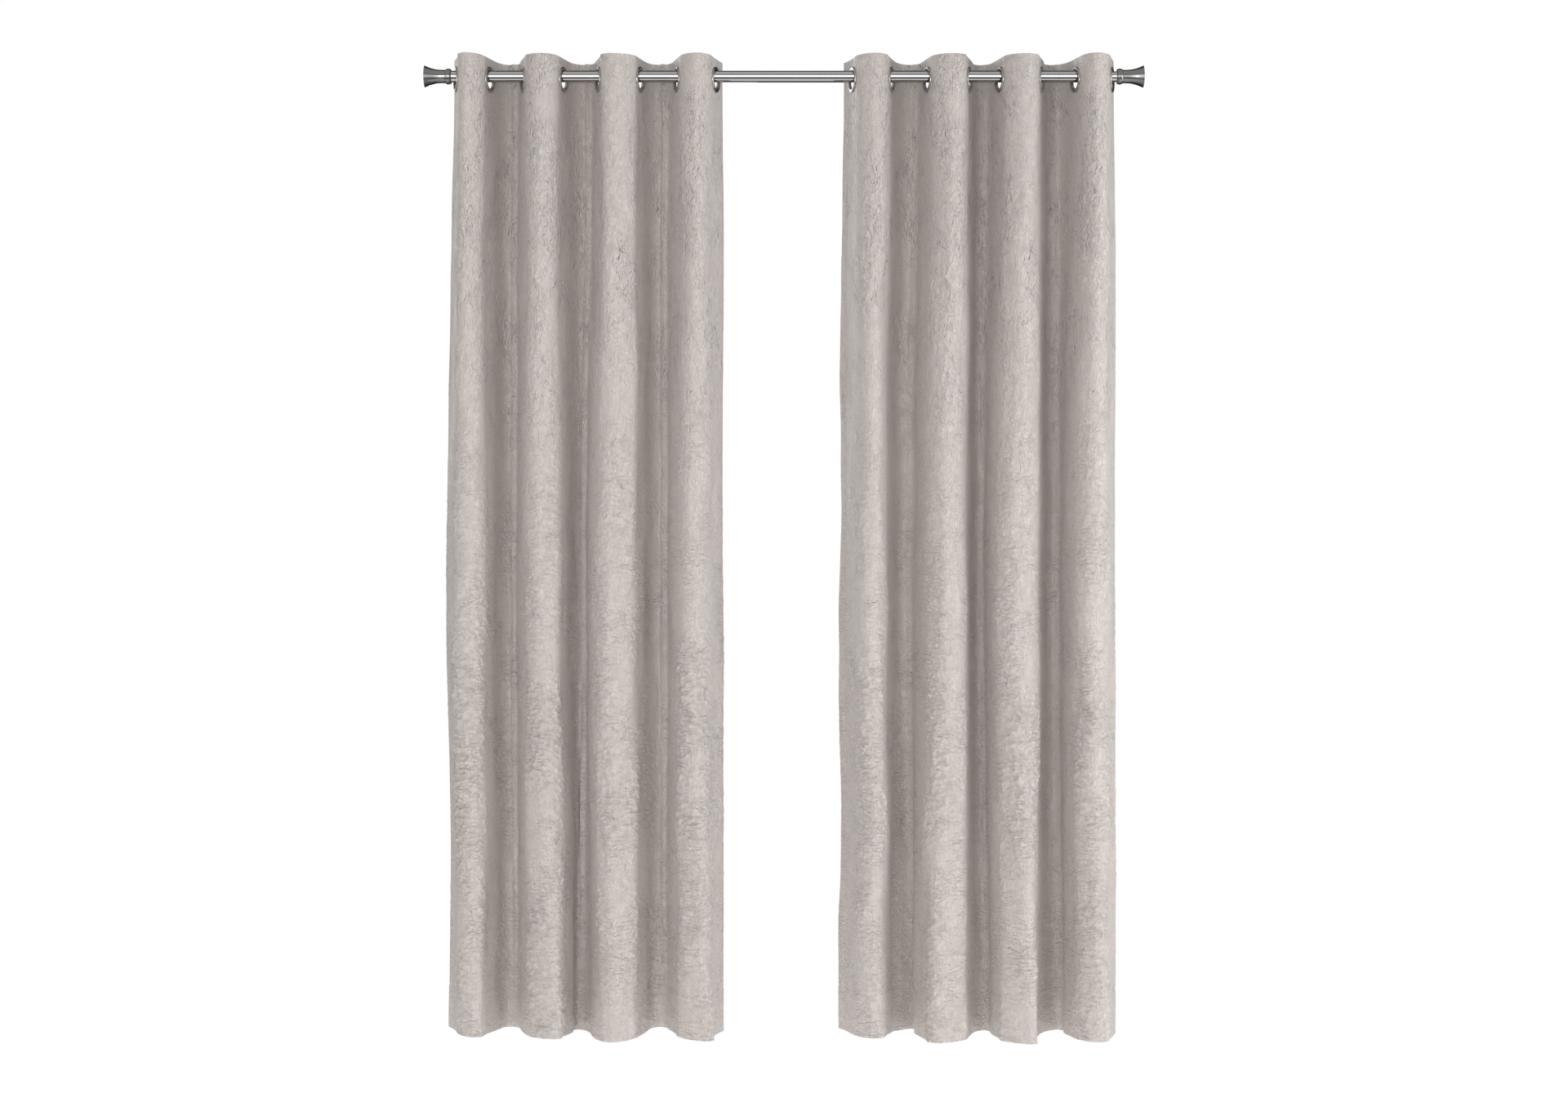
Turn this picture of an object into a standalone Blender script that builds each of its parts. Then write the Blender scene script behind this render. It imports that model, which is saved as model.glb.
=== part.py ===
"""A pair of eyelet curtains on a telescopic metal rod, carried by two wall brackets.

+X runs along the rod, +Y points at the wall and +Z is up. The origin is the centre of the left
bracket's wall face. Everything is laid out around the middle of the rod's axis, under one empty
that moves the layout to that origin.

The curtain's folds stand in front of the rod and behind it in turn. Each eyelet sits in a flat wall
of cloth between two folds, so the rod passes through the cloth once per eyelet.
"""

from math import cos, pi, radians, sin

import bmesh
import bpy
from mathutils import Vector

# --- Clearances ---------------------------------------------------------------------------------
SEAT_GAP = 0.0003            # between two pieces that seat on or in each other
HANG_GAP_SHARE = 4 / 127     # of the rod's radius, as an eyelet's flats come nearer to a fatter rod
TUBE_SLIDE_GAP = 0.0004      # radial, between the two tubes of the rod

# --- Curtain panels -----------------------------------------------------------------------------
PANEL_WIDTH = 1.270          # flat width of one panel
PANEL_DROP = 2.134           # flat height of one panel
CLOTH_THICKNESS = 0.0012
SIDE_MARGIN = 0.050          # from an end eyelet's centre to the side edge
HEADER_DEPTH = 0.046         # from the top edge to the eyelets' centres
WALL_ANGLE = radians(75)     # the flat walls of cloth against the rod
OPENING_WIDTH = 0.299        # between the two inner eyelets
# Eyelet spacings from the inner eyelet outwards: front fold, valley, front fold, ...
LEFT_FOLDS = (0.085, 0.080, 0.092, 0.076, 0.089, 0.072, 0.074)
RIGHT_FOLDS = (0.086, 0.078, 0.092, 0.066, 0.092, 0.074, 0.080)
ARC_STEPS = 8                # segments in the round end of each fold

# --- Eyelets ------------------------------------------------------------------------------------
EYELET_INNER_RADIUS = 0.020
EYELET_FLANGE = 0.008        # flange width beyond the opening
EYELET_FLANGE_THICKNESS = 0.0022
EYELET_EDGE_THICKNESS = 0.0007   # at the flange's two rims
WASHER_CHAMFER = 0.002
BARREL_WALL = 0.0013
EYELET_SIDES = 16

# --- Rod ----------------------------------------------------------------------------------------
TUBE_RADIUS = 0.0127
HANG_GAP = HANG_GAP_SHARE * TUBE_RADIUS   # between the rod's top and an eyelet that hangs on it
TUBE_WALL = 0.0012
INNER_TUBE_WALL = 0.0010
INNER_TUBE_LENGTH = 1.370
OUTER_TUBE_SETBACK = 0.023   # from the right bracket's centre to the end of the outer tube
GUIDE_LENGTH = 0.012
GUIDE_LIP = 0.003
GUIDE_WALL = 0.002
ROD_SIDES = 24

# --- Finials ------------------------------------------------------------------------------------
FINIAL_STANDOFF = 0.010      # from an end eyelet's centre to the finial's collar
FINIAL_LENGTH = 0.060
FINIAL_SOCKET_DEPTH = 0.020
FINIAL_COLLAR_LENGTH = 0.013
FINIAL_COLLAR_WALL = 0.0043
FINIAL_NECK_WALL = 0.0016
FINIAL_NECK_LENGTH = 0.008
FINIAL_FLARE = 0.0095        # how far the open end stands out beyond the neck
FINIAL_RIM = 0.0022          # wall of the open end around its cap
FINIAL_CAP_THICKNESS = 0.0030
FINIAL_CAP_DOME = 0.0018
FINIAL_SIDES = 24
FINIAL_STEPS = 6             # segments along the bead and along the flare
CAP_STEPS = 4                # segments from the cap's middle to its edge
GRUB_SCREW_RADIUS = 0.0015

# --- Brackets -----------------------------------------------------------------------------------
BRACKET_INSET = 0.022        # from an end eyelet's centre to its bracket's centre
ROD_TO_WALL = 0.089          # from the wall to the rod's axis
CRADLE_WIDTH = 0.012         # along the rod
CRADLE_STEPS = 16            # segments in the half circle under the tube
CRADLE_WALL = 0.003
CRADLE_LIP = 0.007           # how far the cradle's walls stand above the rod's axis
CRADLE_SOCKET_DEPTH = 0.008  # how far the arm enters the cradle
SOCKET_WALL = 0.002          # wall left around the arm at the cradle's foot
ARM_RADIUS = 0.005
PLATE_SIZE = (0.028, 0.003, 0.080)
PLATE_CORNER = 0.006
PLATE_CORNER_STEPS = 4
PLATE_BOSS_RADIUS = 0.009
PLATE_BOSS_LENGTH = 0.010
WALL_SCREW_SPACING = 0.056
WALL_SCREW_HOLE_RADIUS = 0.0024
CLAMP_SCREW_RADIUS = 0.002
CLAMP_KNOB_RADIUS = 0.0055
CLAMP_KNOB_LENGTH = 0.008
CLAMP_KNOB_CHAMFER = 0.0009
CLAMP_KNOB_STANDOFF = 0.0012

# --- Meshing ------------------------------------------------------------------------------------
SCREW_SIDES = 12             # screws and their holes
ARM_SIDES = 16               # the arms, their sockets and the knobs
BOSS_SIDES = 20
SHARP_ANGLE = radians(40)    # edges sharper than this stay hard
WELD_DISTANCE = 1e-6
DRILL_OVERRUN = 0.001        # how far a cutter goes past the face that it cuts

# --- Values that follow -------------------------------------------------------------------------
EYELET_OUTER_RADIUS = EYELET_INNER_RADIUS + EYELET_FLANGE
BARREL_RADIUS = EYELET_INNER_RADIUS + BARREL_WALL
CLOTH_HOLE_RADIUS = BARREL_RADIUS + SEAT_GAP
EYELET_Z = -(EYELET_INNER_RADIUS - TUBE_RADIUS - HANG_GAP)
CLOTH_PER_FOLD = (PANEL_WIDTH - 2 * SIDE_MARGIN) / len(LEFT_FOLDS)
LEFT_END_EYELET_X = -OPENING_WIDTH / 2 - sum(LEFT_FOLDS)
RIGHT_END_EYELET_X = OPENING_WIDTH / 2 + sum(RIGHT_FOLDS)
INNER_TUBE_RADIUS = TUBE_RADIUS - TUBE_WALL - TUBE_SLIDE_GAP
LEFT_TUBE_END = LEFT_END_EYELET_X - FINIAL_STANDOFF - FINIAL_SOCKET_DEPTH
RIGHT_TUBE_END = RIGHT_END_EYELET_X + FINIAL_STANDOFF + FINIAL_SOCKET_DEPTH
LEFT_BRACKET_X = LEFT_END_EYELET_X + BRACKET_INSET
RIGHT_BRACKET_X = RIGHT_END_EYELET_X - BRACKET_INSET
SOCKET_RADIUS = TUBE_RADIUS + SEAT_GAP
CRADLE_FOOT_Z = -(SOCKET_RADIUS + CRADLE_WALL)
ARM_Z = CRADLE_FOOT_Z + SOCKET_WALL + ARM_RADIUS + SEAT_GAP


# --- Materials ----------------------------------------------------------------------------------
def make_material(name, colour, metallic, roughness):
    material = bpy.data.materials.new(name)
    material.use_nodes = True
    shader = material.node_tree.nodes["Principled BSDF"]
    shader.inputs["Base Color"].default_value = (*colour, 1.0)
    shader.inputs["Metallic"].default_value = metallic
    shader.inputs["Roughness"].default_value = roughness
    return material


def make_materials():
    return {
        "cloth": make_material("cloth", (0.52, 0.48, 0.45), 0.0, 0.60),
        "nickel": make_material("nickel", (0.60, 0.60, 0.59), 1.0, 0.25),
        "eyelet": make_material("eyelet", (0.75, 0.75, 0.74), 1.0, 0.20),
        "steel": make_material("steel", (0.45, 0.45, 0.45), 1.0, 0.35),
        "plastic": make_material("plastic", (0.75, 0.75, 0.73), 0.0, 0.50),
    }


# --- Shape helpers ------------------------------------------------------------------------------
def finish_mesh(bm, name, smooth):
    """Close a bmesh into a mesh with its faces pointing out."""
    bmesh.ops.recalc_face_normals(bm, faces=bm.faces)
    mesh = bpy.data.meshes.new(name)
    bm.to_mesh(mesh)
    bm.free()
    if smooth:
        mesh.shade_smooth()
        mesh.set_sharp_from_angle(angle=SHARP_ANGLE)
    return mesh


def add_object(name, mesh, material, parent, location=(0, 0, 0), turn_z=0.0):
    mesh.materials.append(material)
    obj = bpy.data.objects.new(name, mesh)
    obj.parent = parent
    obj.location = location
    obj.rotation_euler = (0, 0, turn_z)
    bpy.context.scene.collection.objects.link(obj)
    return obj


def turned_mesh(name, profile, sides):
    """Turn a closed outline of (x, radius) points about the X axis."""
    bm = bmesh.new()
    points = [bm.verts.new((x, 0, radius)) for x, radius in profile]
    edges = [bm.edges.new((a, b)) for a, b in zip(points, points[1:] + points[:1])]
    bmesh.ops.spin(bm, geom=points + edges, cent=(0, 0, 0), axis=(1, 0, 0), dvec=(0, 0, 0),
                   angle=2 * pi, steps=sides, use_merge=True)
    bmesh.ops.remove_doubles(bm, verts=bm.verts, dist=WELD_DISTANCE)
    loose = [edge for edge in bm.edges if not edge.link_faces]
    bmesh.ops.delete(bm, geom=loose, context="EDGES")
    return finish_mesh(bm, name, smooth=True)


def extruded_mesh(name, outline, depth, smooth=False):
    """Extrude a closed outline of vectors along the vector depth."""
    bm = bmesh.new()
    face = bm.faces.new([bm.verts.new(point) for point in outline])
    top = bmesh.ops.extrude_face_region(bm, geom=[face])["geom"]
    bmesh.ops.translate(bm, verts=[v for v in top if isinstance(v, bmesh.types.BMVert)], vec=depth)
    return finish_mesh(bm, name, smooth)


def rod_mesh(name, start, direction, length, radius, sides):
    """A plain round bar from start along direction."""
    direction = Vector(direction)
    turn = direction.to_track_quat("Z", "Y").to_matrix().to_4x4()
    turn.translation = Vector(start) + direction * length / 2
    bm = bmesh.new()
    bmesh.ops.create_cone(bm, cap_ends=True, segments=sides, radius1=radius, radius2=radius,
                          depth=length, matrix=turn)
    return finish_mesh(bm, name, smooth=True)


def add_cutter(target, mesh, operation="DIFFERENCE"):
    """Cut the mesh out of target, or join it on, in the target's own frame."""
    cutter = bpy.data.objects.new(mesh.name, mesh)
    cutter.parent = target
    cutter.hide_render = True
    cutter.display_type = "WIRE"
    bpy.context.scene.collection.objects.link(cutter)
    boolean = target.modifiers.new(mesh.name, "BOOLEAN")
    boolean.operation = operation
    boolean.solver = "EXACT"
    boolean.object = cutter


def arc(centre, radius, start, end, steps):
    """Points of a plane arc, as (u, v) pairs, with both ends."""
    angles = [start + (end - start) * i / steps for i in range(steps + 1)]
    return [(centre[0] + radius * cos(a), centre[1] + radius * sin(a)) for a in angles]


# --- Curtain panels and their eyelets -----------------------------------------------------------
def eyelet_positions(inner_x, folds, side):
    """Eyelet centres from the inner one outwards; side is -1 for left, +1 for right."""
    positions = [inner_x]
    for fold in folds:
        positions.append(positions[-1] + side * fold)
    return positions


def fold_shape(pitch):
    """Half length of the flat wall and radius of the round end of one fold."""
    radius = (pitch - CLOTH_PER_FOLD * cos(WALL_ANGLE)) / (
        2 * (sin(WALL_ANGLE) - WALL_ANGLE * cos(WALL_ANGLE)))
    return CLOTH_PER_FOLD / 2 - radius * WALL_ANGLE, radius


def panel_path(xs):
    """Plan of the cloth's middle surface, left to right, as (point, travel angle) pairs."""
    flap = Vector((cos(WALL_ANGLE), -sin(WALL_ANGLE))) * SIDE_MARGIN
    path = [(Vector((xs[0], 0)) - flap, -WALL_ANGLE)]
    for index, (left, right) in enumerate(zip(xs, xs[1:])):
        facing = -1 if index % 2 == 0 else 1
        wall, radius = fold_shape(right - left)
        middle_x = (left + right) / 2
        centre_y = facing * (wall * sin(WALL_ANGLE) - radius * cos(WALL_ANGLE))
        for step in range(ARC_STEPS + 1):
            turn = WALL_ANGLE * (2 * step / ARC_STEPS - 1)
            offset = Vector((sin(turn), facing * cos(turn))) * radius
            path.append((Vector((middle_x, centre_y)) + offset, -facing * turn))
    flap.y = -flap.y
    path.append((Vector((xs[-1], 0)) + flap, WALL_ANGLE))
    return path


def eyelet_facing(index):
    """Direction of the cloth's front face at an eyelet, counted from the left."""
    side = -1 if index % 2 == 0 else 1
    return Vector((side * sin(WALL_ANGLE), -cos(WALL_ANGLE), 0))


def panel_mesh(name, xs):
    """A pleated sheet of even thickness, with its hem at the bottom."""
    bm = bmesh.new()
    bottom = EYELET_Z + HEADER_DEPTH - PANEL_DROP
    rows = []
    for point, travel in panel_path(xs):
        across = Vector((-sin(travel), cos(travel))) * CLOTH_THICKNESS / 2
        rows.append([bm.verts.new((*(point + side * across), bottom)) for side in (-1, 1)])
    faces = [bm.faces.new((a[0], b[0], b[1], a[1])) for a, b in zip(rows, rows[1:])]
    top = bmesh.ops.extrude_face_region(bm, geom=faces)["geom"]
    bmesh.ops.translate(bm, verts=[v for v in top if isinstance(v, bmesh.types.BMVert)],
                        vec=(0, 0, PANEL_DROP))
    return finish_mesh(bm, name, smooth=True)


def eyelet_ring_mesh(name):
    """Front half: a domed flange and the barrel that goes through the cloth."""
    seat = CLOTH_THICKNESS / 2 + SEAT_GAP
    face = seat + EYELET_FLANGE_THICKNESS
    edge = seat + EYELET_EDGE_THICKNESS
    barrel_end = -(seat + EYELET_FLANGE_THICKNESS)
    middle_radius = EYELET_INNER_RADIUS + EYELET_FLANGE / 2
    profile = [(barrel_end, EYELET_INNER_RADIUS), (edge, EYELET_INNER_RADIUS),
               (face, middle_radius), (edge, EYELET_OUTER_RADIUS), (seat, EYELET_OUTER_RADIUS),
               (seat, BARREL_RADIUS), (barrel_end, BARREL_RADIUS)]
    return turned_mesh(name, profile, EYELET_SIDES)


def eyelet_washer_mesh(name):
    """Back half: the washer that the barrel snaps into."""
    seat = -(CLOTH_THICKNESS / 2 + SEAT_GAP)
    back = seat - EYELET_FLANGE_THICKNESS
    profile = [(seat, CLOTH_HOLE_RADIUS), (seat, EYELET_OUTER_RADIUS),
               (back, EYELET_OUTER_RADIUS - WASHER_CHAMFER), (back, CLOTH_HOLE_RADIUS)]
    return turned_mesh(name, profile, EYELET_SIDES)


def hole_cutter_mesh(name, xs):
    """One round punch for each eyelet, through the flat wall of cloth that it sits in."""
    length = 2 * EYELET_FLANGE_THICKNESS + CLOTH_THICKNESS
    bm = bmesh.new()
    for index, x in enumerate(xs):
        turn = eyelet_facing(index).to_track_quat("Z", "Y").to_matrix().to_4x4()
        turn.translation = Vector((x, 0, EYELET_Z))
        bmesh.ops.create_cone(bm, cap_ends=True, segments=EYELET_SIDES, depth=length, matrix=turn,
                              radius1=CLOTH_HOLE_RADIUS, radius2=CLOTH_HOLE_RADIUS)
    return finish_mesh(bm, name, smooth=False)


def build_curtain(side, positions, materials, parent):
    """One panel and its eyelets. Eyelet 1 is the outer one and the last is the inner one."""
    xs = sorted(positions)
    panel = add_object(f"{side}_panel", panel_mesh(f"{side}_panel", xs), materials["cloth"], parent)
    add_cutter(panel, hole_cutter_mesh(f"{side}_panel_punch", xs))
    for number, x in enumerate(reversed(positions), start=1):
        facing = eyelet_facing(xs.index(x))
        turn = Vector((1, 0)).angle_signed(facing.xy) * -1
        for part, build in (("ring", eyelet_ring_mesh), ("washer", eyelet_washer_mesh)):
            name = f"{side}_eyelet_{number}_{part}"
            add_object(name, build(name), materials["eyelet"], parent, (x, 0, EYELET_Z), turn)


# --- Rod ----------------------------------------------------------------------------------------
def tube_mesh(name, length, radius, wall):
    profile = [(0, radius - wall), (0, radius), (length, radius), (length, radius - wall)]
    return turned_mesh(name, profile, ROD_SIDES)


def guide_mesh(name):
    """Plastic bush in the hidden end of the inner tube, with a lip that runs in the outer tube."""
    plug_radius = INNER_TUBE_RADIUS - INNER_TUBE_WALL - SEAT_GAP
    lip_radius = TUBE_RADIUS - TUBE_WALL - SEAT_GAP
    bore = plug_radius - GUIDE_WALL
    profile = [(-GUIDE_LIP - SEAT_GAP, bore), (-GUIDE_LIP - SEAT_GAP, lip_radius),
               (-SEAT_GAP, lip_radius), (-SEAT_GAP, plug_radius), (GUIDE_LENGTH, plug_radius),
               (GUIDE_LENGTH, bore)]
    return turned_mesh(name, profile, ROD_SIDES)


def build_rod(materials, parent):
    outer_end = RIGHT_BRACKET_X - OUTER_TUBE_SETBACK
    outer = tube_mesh("outer_tube", outer_end - LEFT_TUBE_END, TUBE_RADIUS, TUBE_WALL)
    add_object("outer_tube", outer, materials["nickel"], parent, (LEFT_TUBE_END, 0, 0))
    inner_start = RIGHT_TUBE_END - INNER_TUBE_LENGTH
    inner = tube_mesh("inner_tube", INNER_TUBE_LENGTH, INNER_TUBE_RADIUS, INNER_TUBE_WALL)
    add_object("inner_tube", inner, materials["nickel"], parent, (inner_start, 0, 0))
    guide = guide_mesh("inner_tube_guide")
    add_object("inner_tube_guide", guide, materials["plastic"], parent, (inner_start, 0, 0))


# --- Finials ------------------------------------------------------------------------------------
def finial_mesh(name):
    """Trumpet finial, from its collar outwards along +X, with a blind socket for the tube."""
    collar = SOCKET_RADIUS + FINIAL_COLLAR_WALL
    neck = SOCKET_RADIUS + FINIAL_NECK_WALL
    bead = [(FINIAL_COLLAR_LENGTH * (1 - cos(a)) / 2, neck + (collar - neck) * sin(a))
            for a in (pi * i / FINIAL_STEPS for i in range(FINIAL_STEPS + 1))]
    flare_start = FINIAL_COLLAR_LENGTH + FINIAL_NECK_LENGTH
    flare_length = FINIAL_LENGTH - FINIAL_CAP_DOME - flare_start
    flare = [(flare_start + flare_length * t, neck + FINIAL_FLARE * t * t)
             for t in (i / FINIAL_STEPS for i in range(FINIAL_STEPS + 1))]
    rim_x = flare_start + flare_length
    recess_radius = neck + FINIAL_FLARE - FINIAL_RIM
    recess_x = rim_x - FINIAL_CAP_THICKNESS
    socket_end = FINIAL_SOCKET_DEPTH + SEAT_GAP
    profile = bead + flare + [(rim_x, recess_radius), (recess_x, recess_radius), (recess_x, 0),
                              (socket_end, 0), (socket_end, SOCKET_RADIUS), (0, SOCKET_RADIUS)]
    return turned_mesh(name, profile, FINIAL_SIDES)


def finial_cap_mesh(name):
    """Domed disc that closes the finial's open end."""
    rim_x = FINIAL_LENGTH - FINIAL_CAP_DOME
    radius = SOCKET_RADIUS + FINIAL_NECK_WALL + FINIAL_FLARE - FINIAL_RIM - SEAT_GAP
    seat_x = rim_x - FINIAL_CAP_THICKNESS + SEAT_GAP
    angles = [pi / 2 * i / CAP_STEPS for i in range(CAP_STEPS + 1)]
    dome = [(rim_x + FINIAL_CAP_DOME * cos(a), radius * sin(a)) for a in angles]
    profile = dome + [(seat_x, radius), (seat_x, 0)]
    return turned_mesh(name, profile, FINIAL_SIDES)


def grub_screw_mesh(name, radius, length):
    """Headless screw along +X with a socket in its outer end."""
    socket = radius / 2
    profile = [(0, 0), (0, radius), (length, radius), (length, socket), (length / 2, socket),
               (length / 2, 0)]
    return turned_mesh(name, profile, SCREW_SIDES)


def build_finial(side, direction, materials, parent):
    """Finial, cap and set screw; direction is -1 for left and +1 for right."""
    end_eyelet = LEFT_END_EYELET_X if direction < 0 else RIGHT_END_EYELET_X
    place = (end_eyelet + direction * FINIAL_STANDOFF, 0, 0)
    turn = pi if direction < 0 else 0.0
    body_name = f"{side}_finial"
    body = add_object(body_name, finial_mesh(body_name), materials["nickel"], parent, place, turn)
    screw_x = FINIAL_COLLAR_LENGTH / 2
    hole = rod_mesh(f"{side}_finial_drill", (screw_x, 0, -TUBE_RADIUS), (0, 0, -1),
                    SEAT_GAP + FINIAL_COLLAR_WALL + DRILL_OVERRUN, GRUB_SCREW_RADIUS + SEAT_GAP, SCREW_SIDES)
    add_cutter(body, hole)
    cap_name = f"{side}_finial_cap"
    add_object(cap_name, finial_cap_mesh(cap_name), materials["nickel"], parent, place, turn)
    screw_name = f"{side}_finial_set_screw"
    screw_length = FINIAL_COLLAR_WALL - SEAT_GAP
    screw_place = (place[0] + direction * screw_x, 0, -TUBE_RADIUS - SEAT_GAP)
    screw = add_object(screw_name, grub_screw_mesh(screw_name, GRUB_SCREW_RADIUS, screw_length),
                       materials["steel"], parent, screw_place)
    screw.rotation_euler = (0, pi / 2, 0)


def build_reducing_sleeve(materials, parent):
    """Plastic sleeve that brings the inner tube up to the finial's socket."""
    bore = INNER_TUBE_RADIUS + SEAT_GAP
    length = FINIAL_SOCKET_DEPTH
    profile = [(0, bore), (0, TUBE_RADIUS), (length, TUBE_RADIUS), (length, bore)]
    mesh = turned_mesh("right_finial_sleeve", profile, ROD_SIDES)
    place = (RIGHT_TUBE_END - length, 0, 0)
    add_object("right_finial_sleeve", mesh, materials["plastic"], parent, place)


# --- Brackets -----------------------------------------------------------------------------------
def cradle_mesh(name, tube_radius):
    """Open-topped cradle with a solid foot behind it for the arm, as a cross-section along X."""
    inner = tube_radius + SEAT_GAP
    outer = inner + CRADLE_WALL
    back = SOCKET_RADIUS + CRADLE_WALL + CRADLE_SOCKET_DEPTH
    shoulder_z = ARM_Z + ARM_RADIUS + SEAT_GAP + SOCKET_WALL
    outside = [(-outer, CRADLE_LIP)] + arc((0, 0), outer, pi, 3 * pi / 2, CRADLE_STEPS // 2)
    foot = [(outer / 4, CRADLE_FOOT_Z), (back, CRADLE_FOOT_Z), (back, shoulder_z),
            (outer, shoulder_z), (outer, CRADLE_LIP)]
    inside = [(inner, CRADLE_LIP)] + arc((0, 0), inner, 0, -pi, CRADLE_STEPS) + [(-inner, CRADLE_LIP)]
    start = -CRADLE_WIDTH / 2
    outline = [Vector((start, y, z)) for y, z in outside + foot + inside]
    return extruded_mesh(name, outline, (CRADLE_WIDTH, 0, 0))


def plate_mesh(name):
    """Wall plate with round corners, its back face on the wall."""
    width, thickness, height = PLATE_SIZE
    outline = []
    for quarter, (x_side, z_side) in enumerate(((1, 1), (-1, 1), (-1, -1), (1, -1))):
        centre = (x_side * (width / 2 - PLATE_CORNER), z_side * (height / 2 - PLATE_CORNER))
        start = quarter * pi / 2
        outline += arc(centre, PLATE_CORNER, start, start + pi / 2, PLATE_CORNER_STEPS)
    return extruded_mesh(name, [Vector((x, 0, z)) for x, z in outline], (0, -thickness, 0))


def build_wall_plate(side, materials, parent, place):
    """Plate, boss for the arm, two wall-screw holes and the set screw's hole."""
    name = f"{side}_wall_plate"
    thickness = PLATE_SIZE[1]
    plate = add_object(name, plate_mesh(name), materials["nickel"], parent, place)
    boss_end = -(thickness + PLATE_BOSS_LENGTH)
    boss = rod_mesh(f"{side}_boss", (0, -thickness / 2, 0), (0, -1, 0),
                    PLATE_BOSS_LENGTH + thickness / 2, PLATE_BOSS_RADIUS, BOSS_SIDES)
    add_cutter(plate, boss, "UNION")
    bore = rod_mesh(f"{side}_boss_bore", (0, -thickness, 0), (0, -1, 0),
                    PLATE_BOSS_LENGTH + DRILL_OVERRUN, ARM_RADIUS + SEAT_GAP, ARM_SIDES)
    add_cutter(plate, bore)
    screw_y = (boss_end - thickness) / 2
    drill = rod_mesh(f"{side}_boss_drill", (0, screw_y, -ARM_RADIUS), (0, 0, -1), PLATE_BOSS_RADIUS,
                     CLAMP_SCREW_RADIUS + SEAT_GAP, SCREW_SIDES)
    add_cutter(plate, drill)
    for label, height in (("upper", 1), ("lower", -1)):
        hole = rod_mesh(f"{side}_{label}_wall_hole", (0, DRILL_OVERRUN, height * WALL_SCREW_SPACING / 2),
                        (0, -1, 0), thickness + 2 * DRILL_OVERRUN, WALL_SCREW_HOLE_RADIUS, SCREW_SIDES)
        add_cutter(plate, hole)
    screw_name = f"{side}_arm_set_screw"
    length = PLATE_BOSS_RADIUS - ARM_RADIUS - SEAT_GAP
    screw_place = Vector(place) + Vector((0, screw_y, -ARM_RADIUS - SEAT_GAP))
    screw = add_object(screw_name, grub_screw_mesh(screw_name, CLAMP_SCREW_RADIUS, length),
                       materials["steel"], parent, screw_place)
    screw.rotation_euler = (0, pi / 2, 0)


def build_arm(side, materials, parent, bracket_x):
    """Round bar from the wall plate's boss to the cradle's foot."""
    start = ROD_TO_WALL - PLATE_SIZE[1] - SEAT_GAP
    end = SOCKET_RADIUS + CRADLE_WALL + SEAT_GAP
    name = f"{side}_bracket_arm"
    arm = rod_mesh(name, (0, start, 0), (0, -1, 0), start - end, ARM_RADIUS, ARM_SIDES)
    add_object(name, arm, materials["nickel"], parent, (bracket_x, 0, ARM_Z))


def build_cradle(side, materials, parent, bracket_x, tube_radius):
    name = f"{side}_cradle"
    cradle = add_object(name, cradle_mesh(name, tube_radius), materials["nickel"], parent,
                        (bracket_x, 0, 0))
    back = SOCKET_RADIUS + CRADLE_WALL + CRADLE_SOCKET_DEPTH
    socket = rod_mesh(f"{side}_cradle_socket", (0, back + DRILL_OVERRUN, ARM_Z), (0, -1, 0),
                      CRADLE_SOCKET_DEPTH + DRILL_OVERRUN, ARM_RADIUS + SEAT_GAP, ARM_SIDES)
    add_cutter(cradle, socket)
    tap = rod_mesh(f"{side}_cradle_tap", (0, -tube_radius, 0), (0, -1, 0),
                   SEAT_GAP + CRADLE_WALL + DRILL_OVERRUN, CLAMP_SCREW_RADIUS + SEAT_GAP, SCREW_SIDES)
    add_cutter(cradle, tap)


def build_clamp_screw(side, materials, parent, bracket_x, tube_radius):
    """Thumb screw through the cradle's front wall; its origin is on its axis, at its tip."""
    wall_front = SEAT_GAP + CRADLE_WALL
    knob_start = wall_front + CLAMP_KNOB_STANDOFF
    knob_end = knob_start + CLAMP_KNOB_LENGTH
    edge = CLAMP_KNOB_CHAMFER
    profile = [(0, 0), (0, CLAMP_SCREW_RADIUS), (knob_start, CLAMP_SCREW_RADIUS),
               (knob_start, CLAMP_KNOB_RADIUS - edge), (knob_start + edge, CLAMP_KNOB_RADIUS),
               (knob_end - edge, CLAMP_KNOB_RADIUS), (knob_end, CLAMP_KNOB_RADIUS - edge),
               (knob_end, 0)]
    name = f"{side}_clamp_screw"
    add_object(name, turned_mesh(name, profile, ARM_SIDES), materials["steel"], parent,
               (bracket_x, -tube_radius - SEAT_GAP, 0), -pi / 2)


def build_bracket(side, bracket_x, tube_radius, materials, parent):
    build_wall_plate(side, materials, parent, (bracket_x, ROD_TO_WALL, ARM_Z))
    build_arm(side, materials, parent, bracket_x)
    build_cradle(side, materials, parent, bracket_x, tube_radius)
    build_clamp_screw(side, materials, parent, bracket_x, tube_radius)


# --- Assembly -----------------------------------------------------------------------------------
def clear_scene():
    for obj in list(bpy.data.objects):
        bpy.data.objects.remove(obj, do_unlink=True)


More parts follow.
